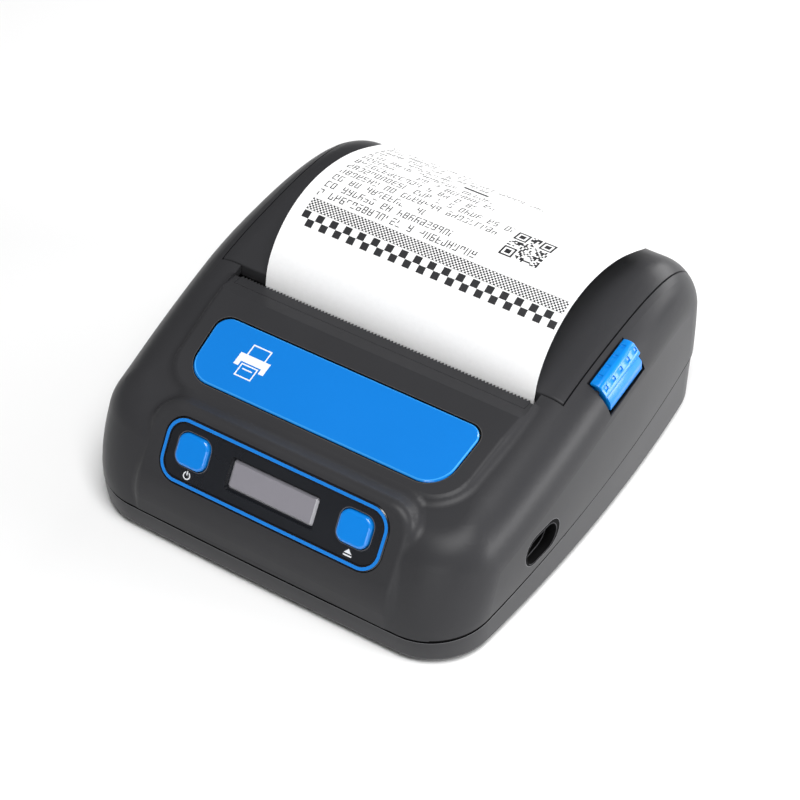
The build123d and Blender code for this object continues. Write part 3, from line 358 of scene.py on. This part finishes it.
def badge_distance(x, up):
    """Distance from the badge's outline, narrower and rounder to the front."""
    corner = (up > 0.0) * (rear_corner - front_corner) + front_corner
    wide = x * badge_half_wide / (up * badge_taper + badge_half_wide)
    return edge_distance(wide, up, badge_half_wide, badge_half_high, corner)


badge_x, badge_y, badge_z = badge_blue.axes()
badge_up = up_slope(badge_y, badge_z, badge_middle, badge_lean)
sign_x = badge_x + 22.5
sign_up = badge_up - 0.3
housing = box_mask(sign_x, sign_up, -4.3, 4.3, -1.9, 1.7)
housing = housing * (1.0 - box_mask(sign_x, sign_up, -2.9, 2.9, -9.0, -0.5))
sheet_in = frame_mask(sign_x, sign_up, -2.7, 2.7, 1.2, 4.9, sign_line)
sheet_out = frame_mask(sign_x, sign_up, -2.4, 2.4, -4.6, -0.9, sign_line)
sheet_row = box_mask(sign_x, sign_up, -1.4, 1.4, -2.4, -2.05)
pictogram = housing.larger(sheet_in).larger(sheet_out).larger(sheet_row)
recolour(badge_blue, pictogram, rgb(238, 240, 244))
# painted highlight: a brighter band just inside the badge's edge
painted_badge_highlight = between(badge_distance(badge_x, badge_up), -0.42, -0.12)
recolour(badge_blue, painted_badge_highlight, rgb(60, 160, 240))

# upper case: painted shade in the gap round the badge, and a painted highlight as the fine light
# line outside it
from_badge = badge_distance(case_x, up_slope(case_y, case_z, badge_middle, badge_lean))
on_deck = case_z > 31.0
recolour(case_dark, on_deck * (from_badge < 0.52), rgb(92, 91, 91))
recolour(case_dark, on_deck * (from_badge < 0.42), rgb(9, 9, 10))

# release lever's pocket: its floor and end walls lie in deep shade
lever_y = 9.7
lever_z = 45.4
lean_sine = 0.12892
lean_cosine = 0.99166
pocket_reach = 8.5
up_lever = (case_y - lever_y) * -lean_sine + (case_z - lever_z) * lean_cosine
along_lever = abs((case_y - lever_y) * -lean_cosine + (case_z - lever_z) * -lean_sine)
pocket_floor = box_mask(case_x, up_lever, 49.9, 56.1, -10.0, -9.3)
pocket_floor = pocket_floor * (along_lever < pocket_reach + 0.02)
pocket_wall = on_side * between(along_lever, pocket_reach - 0.01, pocket_reach + 0.01)
recolour(case_dark, pocket_floor.larger(pocket_wall), rgb(7, 7, 8))

# control panel: satin black, with a plain sign under each key
panel_middle = (-55.8, 27.5)
panel_lean = math.atan2(14.2, 8.4)
key_out = 22.8
key_up = 0.8
sign_row = -5.25


def panel_axes(f):
    """Coordinates across and up the sloping panel, in millimetres, from its middle."""
    x, y, z = f.axes()
    return x, up_slope(y, z, panel_middle, panel_lean)


across_panel, up_panel = panel_axes(panel)
power_x = across_panel + key_out
feed_x = across_panel - key_out
over_sign = up_panel - sign_row
from_ring = (power_x * power_x + over_sign * over_sign).root()
ring_gap = box_mask(power_x, up_panel, -0.38, 0.38, sign_row, 0.0)
power_ring = between(from_ring, 0.72, 1.02) * (1.0 - ring_gap)
power_stem = box_mask(power_x, over_sign, -0.15, 0.15, 0.15, 1.2)
arrow_tip = 1.05
arrow_half = (arrow_tip - over_sign) * 0.9
feed_arrow = (abs(feed_x) < arrow_half) * between(over_sign, -0.1, arrow_tip)
feed_sheet = box_mask(feed_x, over_sign, -1.15, 1.15, -0.8, -0.45)
panel_signs = power_ring.larger(power_stem).larger(feed_arrow).larger(feed_sheet)
recolour(panel, panel_signs, rgb(222, 224, 228))

# a painted highlight as a thin pale line round each key
for from_key in (power_x, feed_x):
    from_hole = edge_distance(from_key, up_panel - key_up, 4.65, 4.35, 2.8)
    recolour(panel, between(from_hole, -0.02, 0.16), rgb(92, 94, 100))

# trim: the blue line is narrower than its strip, with a dark border
across_trim, up_trim = panel_axes(trim_blue)
from_trim = edge_distance(across_trim, up_trim, 31.2, 8.25, 5.5)
recolour(trim_blue, (from_trim > -0.32).larger(from_trim < -1.12), rgb(24, 26, 31))

# display: grey screen behind a clear window with bevelled edges; painted highlights make the side
# and lower bevels pale, and painted shade darkens the top bevel
across_screen, up_screen = panel_axes(screen)
painted_bevel_highlight = (abs(across_screen) > 11.3).larger(up_screen < -3.0)
recolour(screen, painted_bevel_highlight, rgb(172, 172, 177))
recolour(screen, up_screen > 3.0, rgb(112, 111, 117))


def paper_sheet(name):
    """White coated paper, with its fibres showing faintly."""
    f = Finish(name, rough=0.62)
    fibre = f.noise(900.0, 4.0, 0.7)
    f.set("Base Color", f.mix(fibre, rgb(240, 240, 240), rgb(250, 250, 250)))
    f.bump(fibre, 0.12, soft_grain)
    return f


paper = paper_sheet("paper")
printed = paper_sheet("paper_printed")

# Y and Z along the curl of the printed strip, from the slot over the rear rim of the cover
curl_line = [
    (-8.45, 41.5),
    (-7.8, 45.3),
    (-6.0, 49.2),
    (-3.0, 53.0),
    (1.5, 56.5),
    (7.0, 58.8),
    (13.5, 59.9),
    (21.0, 59.5),
    (29.0, 57.7),
    (36.5, 54.6),
    (43.2, 51.2),
    (50.0, 47.9),
]

# place on the sheet: Y plus Z grows all along the curl, and a curve turns it into length
strip_x, strip_y, strip_z = printed.axes()
sums = [y + z for y, z in curl_line]
lengths = [0.0]
for before, after in zip(curl_line[:-1], curl_line[1:]):
    lengths.append(lengths[-1] + math.dist(before, after))
sums_range = sums[-1] - sums[0]
run = printed.node("ShaderNodeFloatCurve", {}, {1: (strip_y + strip_z - sums[0]) / sums_range})
mapping = run.socket.node.mapping
points = mapping.curves[0].points
for index, (total, length) in enumerate(zip(sums, lengths)):
    spot = ((total - sums[0]) / sums_range, length / lengths[-1])
    if index == 0:
        points[0].location = spot
    elif index == len(sums) - 1:
        points[-1].location = spot
    else:
        points.new(*spot)
mapping.update()
along = run * lengths[-1]
band_left = -31.1
band_wide = 72.0
across = strip_x - band_left


def dots(x, y, pitch, seed):
    """Random 0 to 1 for each square of a pitch."""
    place = {0: (x / pitch).floor(), 1: (y / pitch).floor(), 2: seed}
    vector = printed.node("ShaderNodeCombineXYZ", {}, place)
    settings = {"noise_dimensions": "3D"}
    return printed.node("ShaderNodeTexWhiteNoise", settings, {"Vector": vector}, "Value")


# test print: two rows of squares, then a field of fine dots
square = 2.0
squares_start = 17.6
fine_square = 0.5
field_start = 21.9
field_end = 25.6
squares = (across / square).floor() + ((along - squares_start) / square).floor()
squares = (squares + 1.0) % 2.0 < 0.5
squares = squares * between(across, 0.0, band_wide)
squares = squares * between(along, squares_start, squares_start + 2 * square)
field = ((across / fine_square).floor() + (along / fine_square).floor()) % 2.0 < 0.5
field = field * box_mask(across, along, 0.0, band_wide, field_start, field_end)

# lines of made-up characters, with a chance for each stroke of each of them
line_pitch = 3.3
letter_pitch = 1.62
letter_wide = 1.15
letter_tall = 2.2
half_tall = letter_tall / 2
line = 0.27
first_line = 26.6
last_line = 64.0
row = (along - first_line) / line_pitch
column = across / letter_pitch
in_row = row % 1.0 * line_pitch
in_column = column % 1.0 * letter_pitch

# each stroke: left, right, low, high and its chance
strokes = (
    (0.0, letter_wide, 0.0, line, 0.6),
    (0.0, letter_wide, half_tall - line / 2, half_tall + line / 2, 0.6),
    (0.0, letter_wide, letter_tall - line, letter_tall, 0.55),
    (0.0, line, 0.0, half_tall, 0.7),
    (0.0, line, half_tall, letter_tall, 0.8),
    (letter_wide - line, letter_wide, 0.0, half_tall, 0.6),
    (letter_wide - line, letter_wide, half_tall, letter_tall, 0.6),
)
bars = []
for seed, (left, right, low, high, share) in enumerate(strokes, start=1):
    is_drawn = dots(column, row, 1.0, float(seed)) < share
    bars.append(box_mask(in_column, in_row, left, right, low, high) * is_drawn)
text = bars[0]
for bar in bars[1:]:
    text = text.larger(bar)
not_space = dots(column, row, 1.0, 8.0) > 0.16
line_end = dots(across * 0.0, row, 1.0, 5.0) * 26.0 + 22.0
text = text * not_space * between(across, 0.0, line_end) * between(along, first_line, last_line)

# a square of random cells with three plain eyes, and a short bar
cell = 0.5
cells_side = 10.5
cells_x = across - 49.0
cells_y = along - 31.0
eye_out = 3.5
from_eye_x = abs(abs(cells_x - cells_side / 2) - eye_out)
from_eye_y = abs(abs(cells_y - cells_side / 2) - eye_out)
from_eye = from_eye_x.larger(from_eye_y)
no_eye = (cells_x > 6.5) * (cells_y < 4.5)
eyes = (from_eye < 1.5 * cell).larger(between(from_eye, 2.5 * cell, 3.5 * cell))
eyes = eyes * (1.0 - no_eye)
cells = dots(cells_x, cells_y, cell, 11.0) > 0.5
cells = cells * (from_eye > 2.2).larger(no_eye)
cells = cells.larger(eyes) * box_mask(cells_x, cells_y, 0.0, cells_side, 0.0, cells_side)
short_bar = box_mask(across, along, 26.0, 33.0, 53.6, 54.8)

# the print lies on the outer face only
facing = printed.split(printed.node("ShaderNodeTexCoord", {}, {}, "Normal"))
outer_face = facing[2] * 0.8 - facing[1] * 0.6 > 0.0
ink = squares.larger(field).larger(text).larger(cells).larger(short_bar) * outer_face
recolour(printed, ink, rgb(24, 24, 28))

looks = {
    "upper_case": case_dark,
    "bottom_case": case_low,
    "battery_cover": case_low,
    "roll_cover": case_dark,
    "tear_bar": case_dark,
    "rubber_feet": rubber,
    "case_screws": steel,
    "battery_pack": sleeve,
    "main_board": board,
    "charge_board": board,
    "key_board": board,
    "usb_socket": steel,
    "panel_ring": trim_blue,
    "control_panel": panel,
    "display_window": screen,
    "lcd_module": display_black,
    "key_switches": switch_black,
    "badge_plate": badge_blue,
    "latch_pin": case_dark,
    "hinge_rod": steel,
    "idler_axle": steel,
    "stepper_motor": plated,
    "mechanism_frame": plated,
    "thermal_head": glaze,
    "head_plate": aluminium,
    "head_spring": steel,
    "roll_tray": tray_black,
    "paper_web": paper,
    "paper_tongue": printed,
    "paper_roll": paper,
    "roll_core": card,
    "platen_bearings": nylon,
    "platen_gear": nylon,
    "idler_gear": nylon,
    "motor_pinion": brass,
    "platen_roller": rubber,
    "platen_shaft": steel,
    "latch_lever": trim_blue,
    "power_button": key_blue,
    "feed_button": key_blue,
}
for name, finish in looks.items():
    mesh = nodes[name].data
    for index in range(len(mesh.materials)):
        mesh.materials[index] = finish.material


def start_at(name, place):
    """A piece of one vertex at a place, left in edit mode."""
    bpy.ops.object.select_all(action="DESELECT")
    bpy.ops.mesh.primitive_plane_add(size=mm, location=place)
    piece = bpy.context.active_object
    piece.name = name
    bpy.ops.object.transform_apply(location=True)
    bpy.ops.object.mode_set(mode="EDIT")
    bpy.ops.mesh.merge(type="CENTER")
    return piece


def draw_out(step):
    """Extrudes what is selected by a vector."""
    bpy.ops.mesh.extrude_region_move(TRANSFORM_OT_translate={"value": step})


def face_outwards():
    """Turns all faces outwards and leaves edit mode."""
    bpy.ops.mesh.select_all(action="SELECT")
    bpy.ops.mesh.normals_make_consistent(inside=False)
    bpy.ops.object.mode_set(mode="OBJECT")


def pick(piece):
    """Makes a piece the only one selected, and the active one."""
    bpy.ops.object.select_all(action="DESELECT")
    piece.select_set(True)
    bpy.context.view_layer.objects.active = piece


def modify(piece, kind, **settings):
    """Adds a modifier to a piece and applies it."""
    pick(piece)
    bpy.ops.object.modifier_add(type=kind)
    modifier = piece.modifiers[-1]
    for key, value in settings.items():
        setattr(modifier, key, value)
    bpy.ops.object.modifier_apply(modifier=modifier.name)


def smooth(piece):
    """Shades a piece smooth where its edges are soft."""
    pick(piece)
    bpy.ops.object.shade_smooth_by_angle(angle=math.radians(30.0))
    bpy.ops.object.select_all(action="DESELECT")


def soften(piece, width):
    """Rounds the sharp edges and shades the rest smooth."""
    sharp = math.radians(35.0)
    modify(piece, "BEVEL", width=width, segments=2, limit_method="ANGLE", angle_limit=sharp)
    smooth(piece)


def carve(piece, cutter):
    """Takes one solid out of another and removes the tool."""
    modify(piece, "BOOLEAN", object=cutter, operation="DIFFERENCE")
    pick(cutter)
    bpy.ops.object.delete()


def joined(pieces, name):
    """One object from several."""
    pick(pieces[0])
    for piece in pieces[1:]:
        piece.select_set(True)
    bpy.ops.object.join()
    pieces[0].name = name
    bpy.ops.object.select_all(action="DESELECT")
    return pieces[0]


def finished(piece, finish, body, stands_for):
    """Gives a piece its finish and its body, and hides the node that it stands for."""
    piece.data.materials.clear()
    piece.data.materials.append(finish.material)
    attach(piece, body)
    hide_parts(stands_for)


# release lever, with a plate bent over the shoulder and two rows of grip dimples
lever_mid = Vector((0.0, lever_y * mm, lever_z * mm))
lever_up = Vector((0.0, -lean_sine, lean_cosine))
lever_front = Vector((0.0, -lean_cosine, -lean_sine))
lever_lean = math.atan2(lean_sine, lean_cosine)


def lever_spot(x, up, front):
    """A point given across, up and along the lever, in millimetres."""
    return lever_mid + (Vector((x, 0.0, 0.0)) + lever_up * up + lever_front * front) * mm


def lever_bar(name, section, reach):
    """Bar with a section across the lever, to the same reach at front and rear."""
    corners = [lever_spot(x, up, -reach) for x, up in section]
    piece = start_at(name, corners[0])
    for before, after in zip(corners[:-1], corners[1:]):
        draw_out(after - before)
    bpy.ops.mesh.select_all(action="SELECT")
    bpy.ops.mesh.edge_face_add()
    draw_out(lever_front * 2.0 * reach * mm)
    face_outwards()
    return piece


core_section = [
    (50.64, -1.9),
    (53.0, -1.8),
    (54.6, -4.2),
    (54.95, -4.7),
    (55.75, -5.9),
    (55.85, -6.3),
    (55.85, -8.7),
    (53.4, -8.8),
    (51.6, -5.6),
    (50.7, -3.4),
]
plate_section = [
    (50.6, -1.45),
    (51.6, -1.15),
    (52.7, -1.2),
    (53.3, -1.45),
    (54.2, -2.65),
    (55.05, -3.95),
    (55.0, -4.45),
    (54.5, -4.3),
    (52.95, -1.95),
    (50.64, -2.0),
]
nose_section = [(49.2, -7.4), (49.2, -6.2), (52.4, -4.4), (53.0, -6.9)]
lever_core = lever_bar("lever_core", core_section, 7.55)
lever_plate = lever_bar("lever_plate", plate_section, 8.05)
lever_nose = lever_bar("lever_nose", nose_section, 3.0)

# each row of dimples: place across, height, tilt in degrees and places along the lever
dimple_rows = (
    (51.65, -1.15, 0.0, (5.25, 1.65, -1.95, -5.55)),
    (54.15, -2.6, 54.0, (6.5, 3.1, -0.3, -3.7, -7.1)),
)
dimple_side = 1.2
dimple_flat = (1.0, 1.0, 0.6)
dimples = []
for x, up, tilt, places in dimple_rows:
    for place in places:
        bpy.ops.object.select_all(action="DESELECT")
        spot = lever_spot(x, up, place)
        bpy.ops.mesh.primitive_cube_add(size=dimple_side * mm, location=spot)
        bpy.ops.transform.resize(value=dimple_flat)
        for axis, turn in (("Y", math.radians(tilt)), ("X", lever_lean)):
            bpy.ops.transform.rotate(value=-turn, orient_axis=axis, center_override=spot)
        bpy.ops.object.transform_apply(location=True, rotation=True, scale=True)
        dimples.append(bpy.context.active_object)
carve(lever_plate, joined(dimples, "dimples"))
soften(lever_plate, 0.08 * mm)
soften(lever_core, 0.18 * mm)
soften(lever_nose, 0.2 * mm)
lever = joined([lever_plate, lever_core, lever_nose], "release_lever")
finished(lever, lever_blue, "latch", "latch_lever")

# printed strip: one sheet drawn along the curl, which starts a little down in the slot
strip_left = -34.5
strip_width = 76.2
sheet_thick = 0.12
sheet_foot = (-8.6, 39.8)
sheet_line = [sheet_foot] + curl_line
strip = start_at("printed_strip", Vector((strip_left, *sheet_foot)) * mm)
draw_out((strip_width * mm, 0.0, 0.0))
bpy.ops.mesh.select_all(action="SELECT")
for before, after in zip(sheet_line[:-1], sheet_line[1:]):
    draw_out((0.0, (after[0] - before[0]) * mm, (after[1] - before[1]) * mm))
face_outwards()
modify(strip, "SUBSURF", levels=3, render_levels=3, boundary_smooth="PRESERVE_CORNERS")
modify(strip, "SOLIDIFY", thickness=sheet_thick * mm, offset=0.0)
smooth(strip)
finished(strip, printed, "lid", "paper_tongue")

# floor, room and lamps
bpy.ops.mesh.primitive_plane_add(size=6.0, location=(0.0, 0.0, 0.0))
floor = bpy.context.active_object
floor.name = "floor"
floor_look = Finish("floor_pale", rough=0.9)
floor_low = (0.9, 0.9, 0.9, 1.0)
floor_high = (0.91, 0.91, 0.91, 1.0)
floor_look.set("Base Color", floor_look.mix(floor_look.noise(3.0), floor_low, floor_high))
floor.data.materials.append(floor_look.material)
bpy.ops.object.select_all(action="DESELECT")

world = bpy.data.worlds.new("room")
bpy.context.scene.world = world
world.use_nodes = True
background = world.node_tree.nodes["Background"]
background.inputs["Color"].default_value = (1.0, 1.0, 1.0, 1.0)
background.inputs["Strength"].default_value = 0.09

# each lamp: its place and the point that it is turned to, its width and height, and its watts
lamps = {
    "lamp_top": ((0.20, -0.22, 0.83), (0.0, 0.0, 0.03), (0.5, 0.5), 8.3),
    "lamp_right": ((0.85, 0.30, 0.22), (0.0, 0.0, 0.03), (0.5, 0.3), 6.5),
    "lamp_front": ((0.30, -0.95, 0.22), (0.0, 0.0, 0.04), (0.5, 0.25), 1.6),
    "lamp_back": ((0.25, 1.00, 0.35), (0.0, 0.0, 0.05), (0.9, 0.3), 7.5),
}
for name, (place, aim, size, watts) in lamps.items():
    bpy.ops.object.light_add(type="AREA", location=place)
    lamp = bpy.context.active_object
    lamp.name = name
    lamp.data.shape = "RECTANGLE"
    lamp.data.size, lamp.data.size_y = size
    lamp.data.energy = watts
    lamp.rotation_euler = (Vector(aim) - Vector(place)).to_track_quat("-Z", "Y").to_euler()
